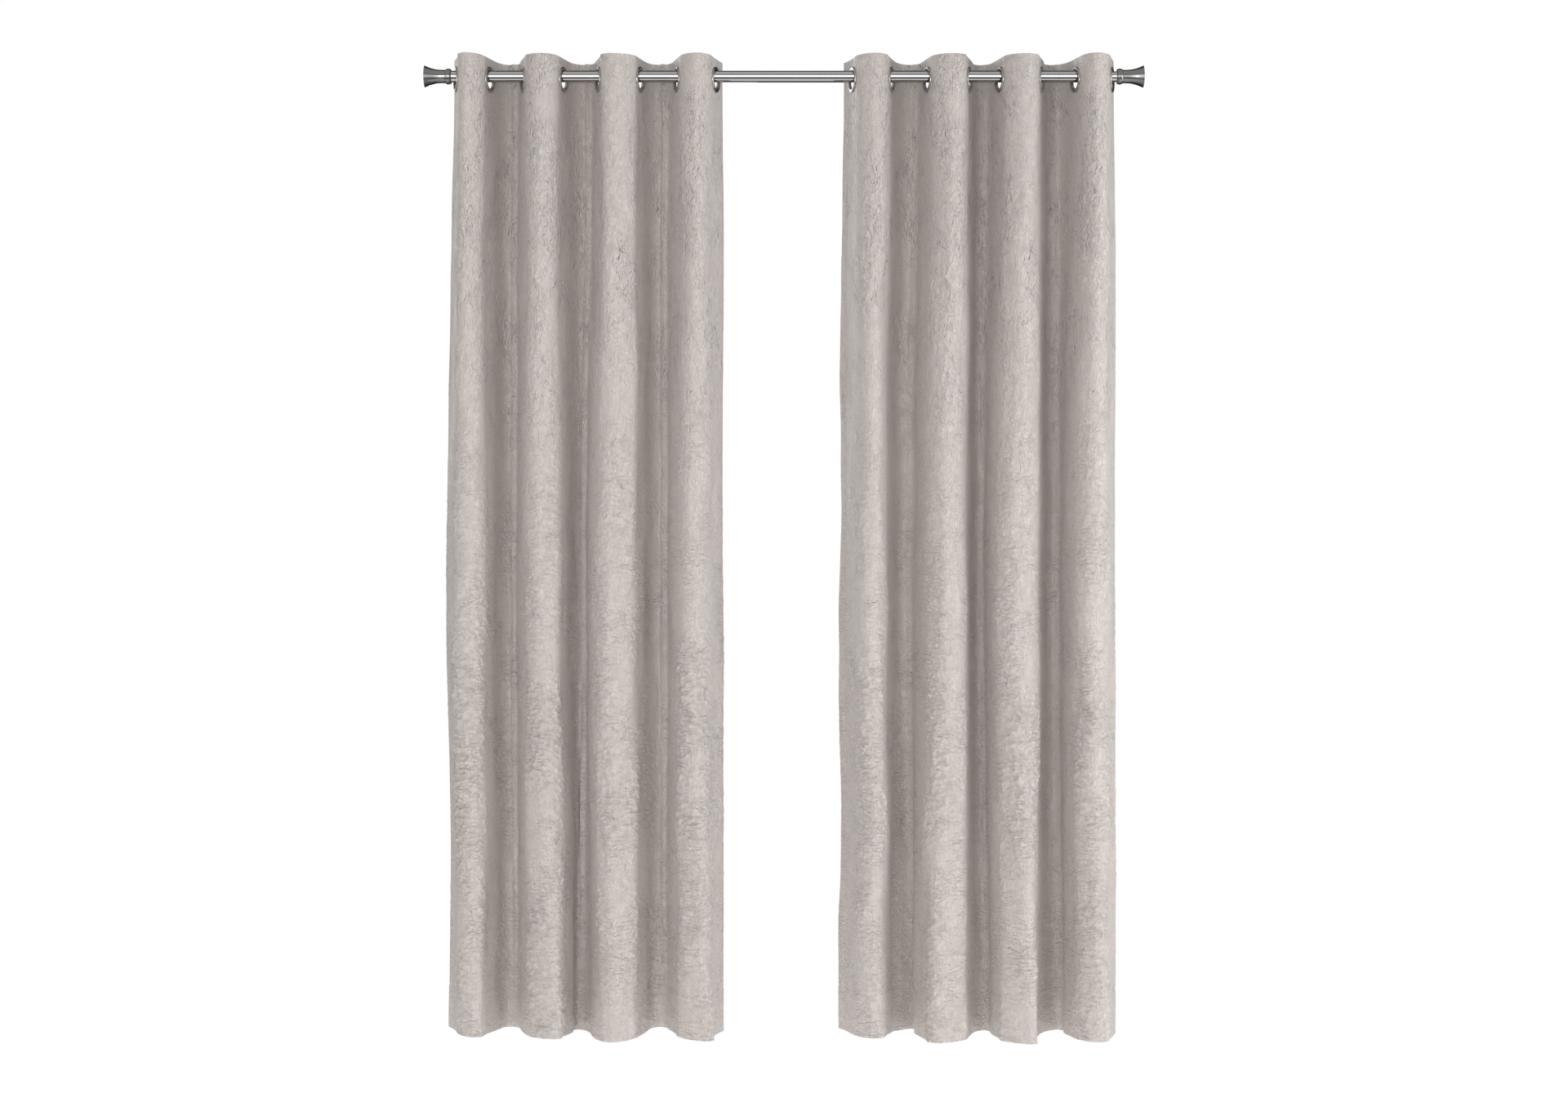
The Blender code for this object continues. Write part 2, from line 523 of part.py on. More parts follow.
def build():
    clear_scene()
    materials = make_materials()
    layout = bpy.data.objects.new("rod_middle", None)
    layout.location = (-LEFT_BRACKET_X, -ROD_TO_WALL, -ARM_Z)
    bpy.context.scene.collection.objects.link(layout)
    build_rod(materials, layout)
    build_finial("left", -1, materials, layout)
    build_finial("right", 1, materials, layout)
    build_reducing_sleeve(materials, layout)
    build_bracket("left", LEFT_BRACKET_X, TUBE_RADIUS, materials, layout)
    build_bracket("right", RIGHT_BRACKET_X, INNER_TUBE_RADIUS, materials, layout)
    left = eyelet_positions(-OPENING_WIDTH / 2, LEFT_FOLDS, -1)
    right = eyelet_positions(OPENING_WIDTH / 2, RIGHT_FOLDS, 1)
    build_curtain("left", left, materials, layout)
    build_curtain("right", right, materials, layout)
    bpy.context.view_layer.update()


build()
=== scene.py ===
"""Looks for a pair of crinkled eyelet curtains on a telescopic nickel rod.

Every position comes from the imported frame. x runs along the rod, y towards the wall and z up.
A panel is one sheet of cloth. Its plan is worked out row by row from the places where the cloth
crosses the rod, and its creases are added along the cloth's own normals.
"""

from collections import namedtuple

import bmesh
import bpy
import numpy as np
from math import cos, pi, radians, sin
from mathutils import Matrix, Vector


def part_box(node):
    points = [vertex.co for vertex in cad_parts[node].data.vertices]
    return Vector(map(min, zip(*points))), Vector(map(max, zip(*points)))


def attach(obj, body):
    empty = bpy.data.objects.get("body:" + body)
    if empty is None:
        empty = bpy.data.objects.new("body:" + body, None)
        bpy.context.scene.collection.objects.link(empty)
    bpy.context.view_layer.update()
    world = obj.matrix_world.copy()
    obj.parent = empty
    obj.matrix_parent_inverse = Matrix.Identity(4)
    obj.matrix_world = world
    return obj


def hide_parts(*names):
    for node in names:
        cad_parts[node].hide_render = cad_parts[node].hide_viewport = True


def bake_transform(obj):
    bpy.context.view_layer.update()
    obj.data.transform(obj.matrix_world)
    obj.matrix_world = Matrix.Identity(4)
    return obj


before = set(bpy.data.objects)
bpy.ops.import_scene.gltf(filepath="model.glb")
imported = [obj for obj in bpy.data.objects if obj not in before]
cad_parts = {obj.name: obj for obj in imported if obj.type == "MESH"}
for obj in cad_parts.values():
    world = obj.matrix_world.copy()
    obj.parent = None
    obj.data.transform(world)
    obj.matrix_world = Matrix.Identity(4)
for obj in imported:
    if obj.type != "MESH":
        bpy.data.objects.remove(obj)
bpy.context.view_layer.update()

# --- Sizes taken from the frame -----------------------------------------------------------------
FLAT_WIDTH = 1.270           # flat cut of one panel
FLAT_HEIGHT = 2.134
SIDE_MARGIN = 0.050          # from an end eyelet's centre to the side edge
EYELET_COUNT = 8
EYELET_HOLE = 0.020          # radius of an eyelet's opening
EYELET_RIM = 0.028           # radius of an eyelet's flange
BARREL_WALL = 0.0013
WASHER_BORE = EYELET_HOLE + 0.0016
CLOTH_HALF = 0.0006
SEAT = CLOTH_HALF + 0.0003   # from the cloth's middle to the metal clamped on it
SHARP_ANGLE = radians(32)    # steeper bends between a part's faces stay crisp
WALL_ANGLE = radians(75)     # cloth at an eyelet, against the rod
CLOTH_PER_FOLD = (FLAT_WIDTH - 2 * SIDE_MARGIN) / (EYELET_COUNT - 1)


def box_middle(*nodes):
    low = np.min([np.array(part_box(node)[0]) for node in nodes], axis=0)
    high = np.max([np.array(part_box(node)[1]) for node in nodes], axis=0)
    return (low + high) / 2


AXIS = box_middle("left_finial_cap", "right_finial_cap")   # middle of the rod's axis
PANEL_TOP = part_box("left_panel")[1][2]
PANEL_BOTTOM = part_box("left_panel")[0][2]


# --- Node helpers -------------------------------------------------------------------------------
def new_material(name, colour, roughness, metallic=0.0):
    material = bpy.data.materials.new(name)
    material.use_nodes = True
    shader = material.node_tree.nodes["Principled BSDF"]
    shader.inputs["Base Color"].default_value = (*colour, 1)
    shader.inputs["Roughness"].default_value = roughness
    shader.inputs["Metallic"].default_value = metallic
    return material, material.node_tree, shader


def add_node(tree, kind, **settings):
    """A node with its named inputs set; keys that aren't inputs are the node's own settings."""
    node = tree.nodes.new(kind)
    for key, value in settings.items():
        socket = node.inputs.get(key.replace("_", " "))
        if socket is not None:
            socket.default_value = value
        else:
            setattr(node, key, value)
    return node


def ramp(tree, source, stops):
    node = add_node(tree, "ShaderNodeValToRGB")
    elements = node.color_ramp.elements
    while len(elements) < len(stops):
        elements.new(1.0)
    for element, (place, value) in zip(elements, stops):
        element.position = place
        element.color = (*value, 1)
    tree.links.new(source, node.inputs["Fac"])
    return node.outputs["Color"]


def ramp_value(tree, source, low, high):
    node = add_node(tree, "ShaderNodeMapRange")
    tree.links.new(source, node.inputs["Value"])
    node.inputs["From Min"].default_value = low
    node.inputs["From Max"].default_value = high
    return node.outputs["Result"]


def mix_colours(tree, factor, first, second):
    node = add_node(tree, "ShaderNodeMix", data_type="RGBA")
    for key, source in ((0, factor), (6, first), (7, second)):
        if isinstance(source, tuple):
            node.inputs[key].default_value = source
        else:
            tree.links.new(source, node.inputs[key])
    return node.outputs[2]


def scaled(tree, source, scale):
    node = add_node(tree, "ShaderNodeMapping")
    node.inputs["Scale"].default_value = scale
    tree.links.new(source, node.inputs["Vector"])
    return node.outputs["Vector"]


def chain_bumps(tree, shader, layers):
    """Bump layers, each (height output, strength, distance), chained into the shader's normal."""
    normal = None
    for height, strength, distance in layers:
        bump = add_node(tree, "ShaderNodeBump", Strength=strength, Distance=distance)
        tree.links.new(height, bump.inputs["Height"])
        if normal is not None:
            tree.links.new(normal, bump.inputs["Normal"])
        normal = bump.outputs["Normal"]
    tree.links.new(normal, shader.inputs["Normal"])


# --- Materials ----------------------------------------------------------------------------------
THREAD_DARK = (0.545, 0.492, 0.460)
THREAD_LIGHT = (0.625, 0.565, 0.530)
UPRIGHT_ABOVE = 1.60         # height over the hem where the fine creases are all upright
SLANTED_BELOW = 0.95         # and where they all lie flatter


def vein_height(tree, place, scale):
    """Thin raised lines between the flat facets of crushed cloth."""
    cells = add_node(tree, "ShaderNodeTexVoronoi", feature="DISTANCE_TO_EDGE", Scale=1.0)
    tree.links.new(scaled(tree, place, scale), cells.inputs["Vector"])
    return ramp(tree, cells.outputs["Distance"], [(0.0, (1, 1, 1)), (0.16, (0.12,) * 3), (0.5, (0, 0, 0))])


def cloth_colour(tree, uv, slub):
    """Greige threads, a little darker in broad patches."""
    blotch = add_node(tree, "ShaderNodeTexNoise", Scale=1.0, Detail=2.0)
    tree.links.new(scaled(tree, uv, (16, 6, 1)), blotch.inputs["Vector"])
    mix = add_node(tree, "ShaderNodeMix", data_type="RGBA", blend_type="MULTIPLY")
    mix.inputs["Factor"].default_value = 1.0
    threads = ramp(tree, slub, [(0.30, THREAD_DARK), (0.70, THREAD_LIGHT)])
    tree.links.new(threads, mix.inputs["A"])
    patches = ramp(tree, blotch.outputs["Fac"], [(0.30, (0.965, 0.965, 0.97)), (0.70, (1, 1, 1))])
    tree.links.new(patches, mix.inputs["B"])
    return mix.outputs["Result"]


def bent_uvs(tree, uv):
    """The cloth's UVs pushed about by noise, so that no crease is straight."""
    warp = add_node(tree, "ShaderNodeTexNoise", Scale=32.0, Detail=3.0)
    tree.links.new(uv, warp.inputs["Vector"])
    bend = add_node(tree, "ShaderNodeMix", data_type="VECTOR")
    bend.inputs["Factor"].default_value = 0.03
    tree.links.new(uv, bend.inputs["A"])
    tree.links.new(warp.outputs["Color"], bend.inputs["B"])
    return bend.outputs["Result"]


def crushed_veins(tree, uv, bent):
    """Fine creases in patches: upright in the upper cloth, lying flatter in the lower."""
    height = add_node(tree, "ShaderNodeSeparateXYZ")
    tree.links.new(uv, height.inputs["Vector"])
    low = ramp_value(tree, height.outputs["Y"], UPRIGHT_ABOVE, SLANTED_BELOW)
    upright = vein_height(tree, bent, (150, 38, 1))
    slanted = vein_height(tree, bent, (42, 125, 1))
    veins = mix_colours(tree, low, upright, slanted)
    patches = add_node(tree, "ShaderNodeTexNoise", Scale=1.0, Detail=2.0)
    tree.links.new(scaled(tree, uv, (13, 7, 1)), patches.inputs["Vector"])
    crushed = ramp(tree, patches.outputs["Fac"], [(0.40, (0.25,) * 3), (0.58, (1,) * 3)])
    return mix_colours(tree, crushed, (0, 0, 0, 1), veins)


def cloth_material():
    """Crushed greige satin: slubby vertical threads, fine creases and a weave, on the cloth's UVs."""
    material, tree, shader = new_material("crinkled_cloth", (0.50, 0.46, 0.43), 0.55)
    shader.inputs["Sheen Weight"].default_value = 0.25
    shader.inputs["Sheen Roughness"].default_value = 0.35
    shader.inputs["Specular IOR Level"].default_value = 0.50
    uv = add_node(tree, "ShaderNodeUVMap", uv_map="cloth").outputs["UV"]
    slub_noise = add_node(tree, "ShaderNodeTexNoise", Scale=1.0, Detail=3.0, Roughness=0.6)
    tree.links.new(scaled(tree, uv, (420, 14, 1)), slub_noise.inputs["Vector"])
    slub = slub_noise.outputs["Fac"]
    tree.links.new(cloth_colour(tree, uv, slub), shader.inputs["Base Color"])
    gloss = ramp(tree, slub, [(0.3, (0.56,) * 3), (0.7, (0.42,) * 3)])
    tree.links.new(gloss, shader.inputs["Roughness"])
    bent = bent_uvs(tree, uv)
    weave = add_node(tree, "ShaderNodeTexWave", wave_type="BANDS", bands_direction="Y", Scale=260.0,
                     Distortion=0.6, Detail=1.0)
    tree.links.new(uv, weave.inputs["Vector"])
    chain_bumps(tree, shader, [
        (crushed_veins(tree, uv, bent), 1.0, 0.0014),
        (vein_height(tree, bent, (260, 90, 1)), 0.90, 0.0009),
        (slub, 0.25, 0.0004),
        (weave.outputs["Fac"], 0.12, 0.0002)])
    return material


def metal_material(name, colour, roughness, grain):
    """Plated metal with faint polishing lines round the X axis and small changes of gloss."""
    material, tree, shader = new_material(name, colour, roughness, metallic=1.0)
    place = add_node(tree, "ShaderNodeTexCoord").outputs["Object"]
    lines = add_node(tree, "ShaderNodeTexNoise", Scale=1.0, Detail=4.0)
    tree.links.new(scaled(tree, place, (900, 60, 60)), lines.inputs["Vector"])
    smudge = add_node(tree, "ShaderNodeTexNoise", Scale=28.0, Detail=3.0)
    tree.links.new(place, smudge.inputs["Vector"])
    gloss = ramp(tree, smudge.outputs["Fac"], [(0.3, (roughness * 0.8,) * 3), (0.7, (roughness * 1.35,) * 3)])
    tree.links.new(gloss, shader.inputs["Roughness"])
    shade = tuple(c * 0.9 for c in colour)
    streaks = ramp(tree, lines.outputs["Fac"], [(0.3, shade), (0.7, colour)])
    tree.links.new(streaks, shader.inputs["Base Color"])
    chain_bumps(tree, shader, [(lines.outputs["Fac"], grain, 0.0002)])
    return material


def plastic_material():
    material, tree, shader = new_material("plastic", (0.72, 0.72, 0.70), 0.5)
    place = add_node(tree, "ShaderNodeTexCoord").outputs["Object"]
    grain = add_node(tree, "ShaderNodeTexNoise", Scale=900.0, Detail=2.0)
    tree.links.new(place, grain.inputs["Vector"])
    speckle = ramp(tree, grain.outputs["Fac"], [(0.3, (0.68, 0.68, 0.66)), (0.7, (0.74, 0.74, 0.72))])
    tree.links.new(speckle, shader.inputs["Base Color"])
    chain_bumps(tree, shader, [(grain.outputs["Fac"], 0.2, 0.0002)])
    return material


CLOTH = cloth_material()
ROD_METAL = metal_material("polished_nickel", (0.42, 0.42, 0.415), 0.035, 0.03)
NICKEL = metal_material("brushed_nickel", (0.40, 0.40, 0.395), 0.22, 0.25)
FINIAL_METAL = metal_material("satin_nickel", (0.23, 0.23, 0.225), 0.27, 0.25)
# The eyelet metal's warm greige tint is a painted reflection of the cloth round it, not the nickel's own
# colour.
EYELET_METAL_PAINTED_REFLECTION = metal_material("eyelet_metal", (0.50, 0.47, 0.45), 0.34, 0.08)
STEEL = metal_material("steel", (0.42, 0.42, 0.42), 0.32, 0.25)
PLASTIC = plastic_material()


# --- Mesh helpers -------------------------------------------------------------------------------
def mesh_object(name, points, faces, material, smooth=True):
    mesh = bpy.data.meshes.new(name)
    mesh.from_pydata([tuple(p) for p in points], [], [tuple(f) for f in faces])
    mesh.update()
    mesh.materials.append(material)
    if smooth:
        mesh.shade_smooth()
    obj = bpy.data.objects.new(name, mesh)
    bpy.context.scene.collection.objects.link(obj)
    return obj


def turned(name, outline, material, place, turn_z=0.0, sides=64, sharp=35):
    """Turn a closed outline of (x, radius) points about the X axis, at place and turned about Z."""
    outline = np.array(outline, float)
    count = len(outline)
    angles = 2 * pi * np.arange(sides) / sides
    x = np.repeat(outline[:, 0][None], sides, 0)
    y = np.cos(angles)[:, None] * outline[:, 1][None]
    z = np.sin(angles)[:, None] * outline[:, 1][None]
    points = np.stack([x * cos(turn_z) - y * sin(turn_z) + place[0],
                       x * sin(turn_z) + y * cos(turn_z) + place[1], z + place[2]], -1).reshape(-1, 3)
    faces = []
    for i in range(sides):
        for j in range(count):
            a, b = i * count, (i + 1) % sides * count
            faces.append((a + j, a + (j + 1) % count, b + (j + 1) % count, b + j))
    obj = mesh_object(name, points, faces, material)
    clean = obj.modifiers.new("weld", "WELD")
    clean.merge_threshold = 1e-6
    apply_modifiers(obj)
    fix_normals(obj)
    obj.data.set_sharp_from_angle(angle=radians(sharp))
    return obj


def apply_modifiers(obj):
    bpy.context.view_layer.update()
    evaluated = obj.evaluated_get(bpy.context.evaluated_depsgraph_get())
    mesh = bpy.data.meshes.new_from_object(evaluated)
    obj.modifiers.clear()
    obj.data = mesh


def fix_normals(obj):
    bm = bmesh.new()
    bm.from_mesh(obj.data)
    bmesh.ops.recalc_face_normals(bm, faces=bm.faces)
    bm.to_mesh(obj.data)
    bm.free()


def place_piece(obj, body, slot, *nodes):
    """Ride a finished piece on its body in place of its CAD nodes."""
    if nodes:
        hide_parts(*nodes)
    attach(obj, body)


# --- Smooth random fields -----------------------------------------------------------------------
CRINKLE_HEIGHT = 0.0016


def value_noise(seed, u, v):
    """Smooth noise from 0 to 1 with one random value at each whole (u, v)."""
    u = u - np.floor(u.min())
    v = v - np.floor(v.min())
    grid = np.random.RandomState(seed).rand(int(v.max()) + 3, int(u.max()) + 3)
    i, j = np.floor(v).astype(int), np.floor(u).astype(int)
    fv, fu = v - i, u - j
    fv, fu = fv * fv * (3 - 2 * fv), fu * fu * (3 - 2 * fu)
    top = grid[i, j] * (1 - fu) + grid[i, j + 1] * fu
    low = grid[i + 1, j] * (1 - fu) + grid[i + 1, j + 1] * fu
    return top * (1 - fv) + low * fv


def ridges(seed, s, t, size_s, size_t, turn, sharpness):
    """Curving ridge lines from 0 to 1, about size_s by size_t metres apart, turned from the vertical."""
    across = s * cos(turn) + t * sin(turn)
    along = t * cos(turn) - s * sin(turn)
    noise = value_noise(seed, across / size_s, along / size_t)
    return (1 - np.abs(2 * noise - 1)) ** sharpness


def facets(seed, s, t, size_s, size_t, turn, sharpness):
    """Straight ridges between flat facets: 1 on the line between two facets' centres, 0 inside."""
    u = (s * cos(turn) + t * sin(turn)) / size_s
    v = (t * cos(turn) - s * sin(turn)) / size_t
    u, v = u - np.floor(u.min()) + 1, v - np.floor(v.min()) + 1
    random = np.random.RandomState(seed).rand(int(v.max()) + 3, int(u.max()) + 3, 2)
    cell_u, cell_v = np.floor(u).astype(int), np.floor(v).astype(int)
    nearest = np.full(u.shape, 9.0)
    second = np.full(u.shape, 9.0)
    for step_v in (-1, 0, 1):
        for step_u in (-1, 0, 1):
            point = random[cell_v + step_v, cell_u + step_u]
            distance = np.hypot(cell_u + step_u + point[..., 0] - u, cell_v + step_v + point[..., 1] - v)
            second = np.minimum(second, np.maximum(nearest, distance))
            nearest = np.minimum(nearest, distance)
    return np.clip(1 - (second - nearest) / 0.7, 0, 1) ** sharpness


def smooth(t):
    t = np.clip(t, 0, 1)
    return t * t * (3 - 2 * t)


def crinkle(seed, s, t, front):
    """Height of the crushed texture; s is across the cloth, t down it, front is 1 on front folds."""
    warp_s = (s + 0.012 * value_noise(seed, s / 0.05, t / 0.07)
              + 0.006 * value_noise(seed + 1, s / 0.015, t / 0.02))
    warp_t = (t + 0.020 * value_noise(seed + 2, s / 0.04, t / 0.05)
              + 0.007 * value_noise(seed + 3, s / 0.014, t / 0.02))
    low = smooth((t - 0.55) / 0.9)
    upright = (1.0 * facets(seed + 4, warp_s, warp_t, 0.016, 0.045, 0.12, 1.5)
               + 0.7 * facets(seed + 5, warp_s, warp_t, 0.009, 0.024, -0.25, 1.3)
               + 0.7 * ridges(seed + 6, warp_s, warp_t, 0.016, 0.060, 0.05, 2.0))
    slanted = (1.2 * facets(seed + 7, warp_s, warp_t, 0.036, 0.015, 0.40, 3.0)
               + 0.8 * facets(seed + 8, warp_s, warp_t, 0.024, 0.011, -0.50, 2.5)
               + 0.9 * ridges(seed + 9, warp_s, warp_t, 0.040, 0.016, -0.10, 4.0))
    patch = 0.20 + 1.7 * value_noise(seed + 10, s / 0.05, t / 0.11) ** 1.5
    height = (0.75 * upright * (1 - 0.65 * low) + slanted * (0.15 + 1.45 * low)) * patch
    return CRINKLE_HEIGHT * height * (0.25 + 0.75 * front)


# --- Curtain panels -----------------------------------------------------------------------------
GRID = 0.0025                # spacing of the sheet's points
HEADER_RELAX = 0.45          # how far down the header still sets the folds
CREST_ROUNDNESS = 0.30       # share of a fold's cloth that turns over at its crest
SIDE_HEM = 0.022
BOTTOM_HEM = 0.095
HEM_STEP = 0.0007            # how far the doubled cloth stands up
STITCH_DEPTH = 0.0006
RIDGE_WIDTH = 0.0055         # half width of the crease in a valley


def travel_share(u, hold, slope, crest):
    """How far the cloth is turned along one fold, from 1 at an eyelet to -1 at the next one.

    It stays full within hold of an eyelet, relaxes to slope on the wall and turns over within crest.
    """
    v = 1 - 2 * u
    away = np.abs(v)
    wall = smooth((away - 0.25) / (0.75 - 2 * hold))
    turn = slope * np.tanh(away / crest) * (1 - wall) + wall
    return np.sign(v) * turn


def wall_slope(pitch, angle, hold, crest):
    """The slope of the walls that gives each fold its pitch."""
    u = ((np.arange(64) + 0.5) / 64)[None, None, :]
    low = np.full(pitch.shape, 0.15)
    high = np.full(pitch.shape, 1.15)
    for _ in range(26):
        middle = (low + high) / 2
        turn = travel_share(u, hold[..., None], middle[..., None], crest)
        reach = np.cos(angle[..., None] * turn).mean(-1) * CLOTH_PER_FOLD
        low = np.where(reach > pitch, middle, low)
        high = np.where(reach > pitch, high, middle)
    return (low + high) / 2


def crossings(eyelets, drift, seed, t):
    """Where each row of the cloth crosses the rod's line, as (rows, eyelets)."""
    below = smooth((t - 0.10) / HEADER_RELAX)
    lower = smooth((t - 0.10) / 1.1)
    to_hem = smooth((t - 1.2) / 0.9)
    cross = np.repeat(np.array(eyelets)[None], len(t), 0)
    for k, (middle, hem) in enumerate(drift):
        wander = value_noise(seed + 40 + k, t[None] / 0.33, np.zeros((1, len(t))))[0] - 0.5
        cross[:, k] += lower * (middle * (1 - to_hem) + hem * to_hem) + below * 0.005 * wander
    return cross


def fold_plan(k, fold, cross, angle, hold, slope, t):
    """Plan of the cloth between two eyelets, row by row, as (rows, columns, 2)."""
    per_fold = int(round(CLOTH_PER_FOLD / GRID))
    unit = CLOTH_PER_FOLD / per_fold
    start = np.zeros((len(t), 1))
    facing = -1 if k % 2 == 0 else 1
    u = np.arange(per_fold + 1) / per_fold
    turn = travel_share(u[None, :], hold[:, k, None], slope[:, k, None], CREST_ROUNDNESS)
    travel = facing * angle[:, k, None] * turn
    step_x = (np.cos(travel[:, 1:]) + np.cos(travel[:, :-1])) / 2
    step_y = (np.sin(travel[:, 1:]) + np.sin(travel[:, :-1])) / 2
    x = np.concatenate([start, np.cumsum(step_x, 1)], 1)
    x = cross[:, k, None] + x / x[:, -1:] * (cross[:, k + 1, None] - cross[:, k, None])
    y = np.concatenate([start, np.cumsum(step_y, 1)], 1) * unit
    leans = [fold.lean_top, fold.lean_mid, fold.lean_mid, fold.lean_hem]
    lean = np.interp(t, [0, 0.9, 1.3, FLAT_HEIGHT], leans)
    x += lean[:, None] * smooth((np.abs(y) - 0.026) / 0.050)
    return np.stack([x, y], -1)[:, :-1]


def flap_plan(crossing, outward, wall, flap, t):
    """Plan of the loose cloth outside an end eyelet; flap is its angle at the top, middle and hem."""
    per_flap = int(round(SIDE_MARGIN / GRID))
    unit = SIDE_MARGIN / per_flap
    reach = np.arange(1, per_flap + 1) / per_flap * SIDE_MARGIN
    loose = smooth((reach - 0.020) / 0.030)[None, :]
    top, middle, hem = flap
    target = np.interp(t, [0, 0.25, 1.8, FLAT_HEIGHT], [top, middle, middle, hem])[:, None]
    bend = wall * (1 - loose) + np.radians(target) * loose
    x = np.cumsum(np.cos(bend), 1) * unit * outward
    y = np.cumsum(np.sin(bend), 1) * unit
    return np.stack([crossing[:, None] + x, y], -1)


def panel_surface(eyelets, drift, folds, flaps, seed):
    """Points of the sheet's middle surface before its creases, as (rows, columns, 3)."""
    rows = int(round(FLAT_HEIGHT / GRID)) + 1
    t = np.linspace(0, FLAT_HEIGHT, rows)
    cross = crossings(eyelets, drift, seed, t)
    pitch = np.diff(cross, axis=1)
    relaxed = smooth((t - 0.09) / 0.22)
    angle = (WALL_ANGLE - radians(4) * relaxed)[:, None] * np.ones_like(pitch)
    hold = (0.17 - 0.13 * relaxed)[:, None] * np.ones_like(pitch)
    slope = wall_slope(pitch, angle, hold, CREST_ROUNDNESS)
    body = [fold_plan(k, fold, cross, angle, hold, slope, t) for k, fold in enumerate(folds)]
    body.append(np.stack([cross[:, -1:], np.zeros((rows, 1))], -1))
    left = flap_plan(cross[:, 0], -1, angle[:, :1], flaps[0], t)
    right = flap_plan(cross[:, -1], 1, angle[:, :1], flaps[1], t)
    plan = np.concatenate([left[:, ::-1], *body, right], 1)
    s = np.arange(plan.shape[1]) * FLAT_WIDTH / (plan.shape[1] - 1)
    middles = SIDE_MARGIN + CLOTH_PER_FOLD * (np.arange(EYELET_COUNT - 1) + 0.5)
    rise = np.interp(s, middles, [fold.hem_rise for fold in folds])
    height = (PANEL_TOP - t)[:, None] + rise[None] * smooth((t - 1.5) / 0.65)[:, None]
    surface = np.concatenate([plan + np.array([0, AXIS[1]]), height[..., None]], -1)
    return surface, s, t


def surface_normals(surface):
    across = np.gradient(surface, axis=1)
    down = np.gradient(surface, axis=0)
    normal = np.cross(down, across)
    return normal / np.linalg.norm(normal, axis=-1, keepdims=True)


def valley_ridges(grid_s, grid_t, folds, seed):
    """The soft crease that stands up along each valley."""
    height = np.zeros_like(grid_s)
    for k, fold in enumerate(folds):
        if fold.ridge:
            sway = 0.006 * (value_noise(seed + 60 + k, grid_t / 0.16, np.zeros_like(grid_t)) - 0.5)
            place = SIDE_MARGIN + CLOTH_PER_FOLD * (k + 0.55)
            height += fold.ridge * np.exp(-((grid_s - place - sway) / RIDGE_WIDTH) ** 2)
    return height * smooth((FLAT_HEIGHT - grid_t) / 0.5)


def add_relief(surface, s, t, eyelet_s, eyelet_t, folds, seed):
    """Push the sheet along its normals: buckles and creases. Flat round the eyelets."""
    grid_s, grid_t = np.meshgrid(s, t)
    near = np.min([np.hypot(grid_s - e, grid_t - eyelet_t) for e in eyelet_s], axis=0)
    free = smooth((near - EYELET_RIM - 0.001) / 0.030)
    header = 0.45 + 0.55 * smooth((grid_t - 0.085) / 0.10)
    front = smooth((AXIS[1] - surface[..., 1]) / 0.05)
    normals = surface_normals(surface)
    facing = 0.35 + 0.65 * smooth(np.abs(normals[..., 1]) * 1.4)
    broad = value_noise(seed + 20, grid_s / 0.050, grid_t / 0.24) - 0.5
    narrow = value_noise(seed + 21, grid_s / 0.028, grid_t / 0.10) - 0.5
    buckle = broad * 0.0065 * smooth((grid_t - 0.15) / 0.4)
    buckle += narrow * 0.0035 * smooth((grid_t - 0.12) / 0.3)
    height = buckle * facing + crinkle(seed, grid_s, grid_t, front) * header
    height += valley_ridges(grid_s, grid_t, folds, seed)
    return surface + normals * (height * free)[..., None]


def add_hems(surface, s, t):
    """Doubled cloth along the edges, with a shallow groove at each row of stitches."""
    grid_s, grid_t = np.meshgrid(s, t)
    edge = np.minimum(grid_s, FLAT_WIDTH - grid_s)
    low = FLAT_HEIGHT - grid_t
    relief = np.zeros_like(grid_s)
    for distance, width in ((edge, SIDE_HEM), (low, BOTTOM_HEM)):
        relief += HEM_STEP * smooth((width - distance) / 0.003)
        relief -= STITCH_DEPTH * np.exp(-((distance - width) / 0.0028) ** 2)
    return surface + surface_normals(surface) * relief[..., None]


def sheet_mesh(name, surface, s, t, eyelet_s, eyelet_t):
    """Quads over the grid, left out under each eyelet's flange, with the cloth's own UVs."""
    rows, columns = surface.shape[:2]
    grid_s, grid_t = np.meshgrid(s, t)
    near = np.min([np.hypot(grid_s - e, grid_t - eyelet_t) for e in eyelet_s], axis=0)
    keep = near > EYELET_HOLE + 0.0025
    index = np.arange(rows * columns).reshape(rows, columns)
    whole = keep[1:, 1:] & keep[:-1, 1:] & keep[1:, :-1] & keep[:-1, :-1]
    quads = np.stack([index[:-1, :-1], index[1:, :-1], index[1:, 1:], index[:-1, 1:]], -1)[whole]
    used = np.unique(quads)
    renumber = np.full(rows * columns, -1)
    renumber[used] = np.arange(len(used))
    quads = renumber[quads]
    points = surface.reshape(-1, 3)[used]
    mesh = bpy.data.meshes.new(name)
    mesh.vertices.add(len(points))
    mesh.vertices.foreach_set("co", points.astype(np.float32).ravel())
    mesh.loops.add(quads.size)
    mesh.loops.foreach_set("vertex_index", quads.astype(np.int32).ravel())
    mesh.polygons.add(len(quads))
    mesh.polygons.foreach_set("loop_start", np.arange(0, quads.size, 4, dtype=np.int32))
    mesh.update(calc_edges=True)
    flat = np.stack([grid_s, FLAT_HEIGHT - grid_t], -1).reshape(-1, 2)[used]
    uv = mesh.uv_layers.new(name="cloth")
    uv.data.foreach_set("uv", flat[quads.ravel()].astype(np.float32).ravel())
    mesh.validate()
    mesh.materials.append(CLOTH)
    mesh.shade_smooth()
    obj = bpy.data.objects.new(name, mesh)
    bpy.context.scene.collection.objects.link(obj)
    return obj, grid_s.reshape(-1)[used]


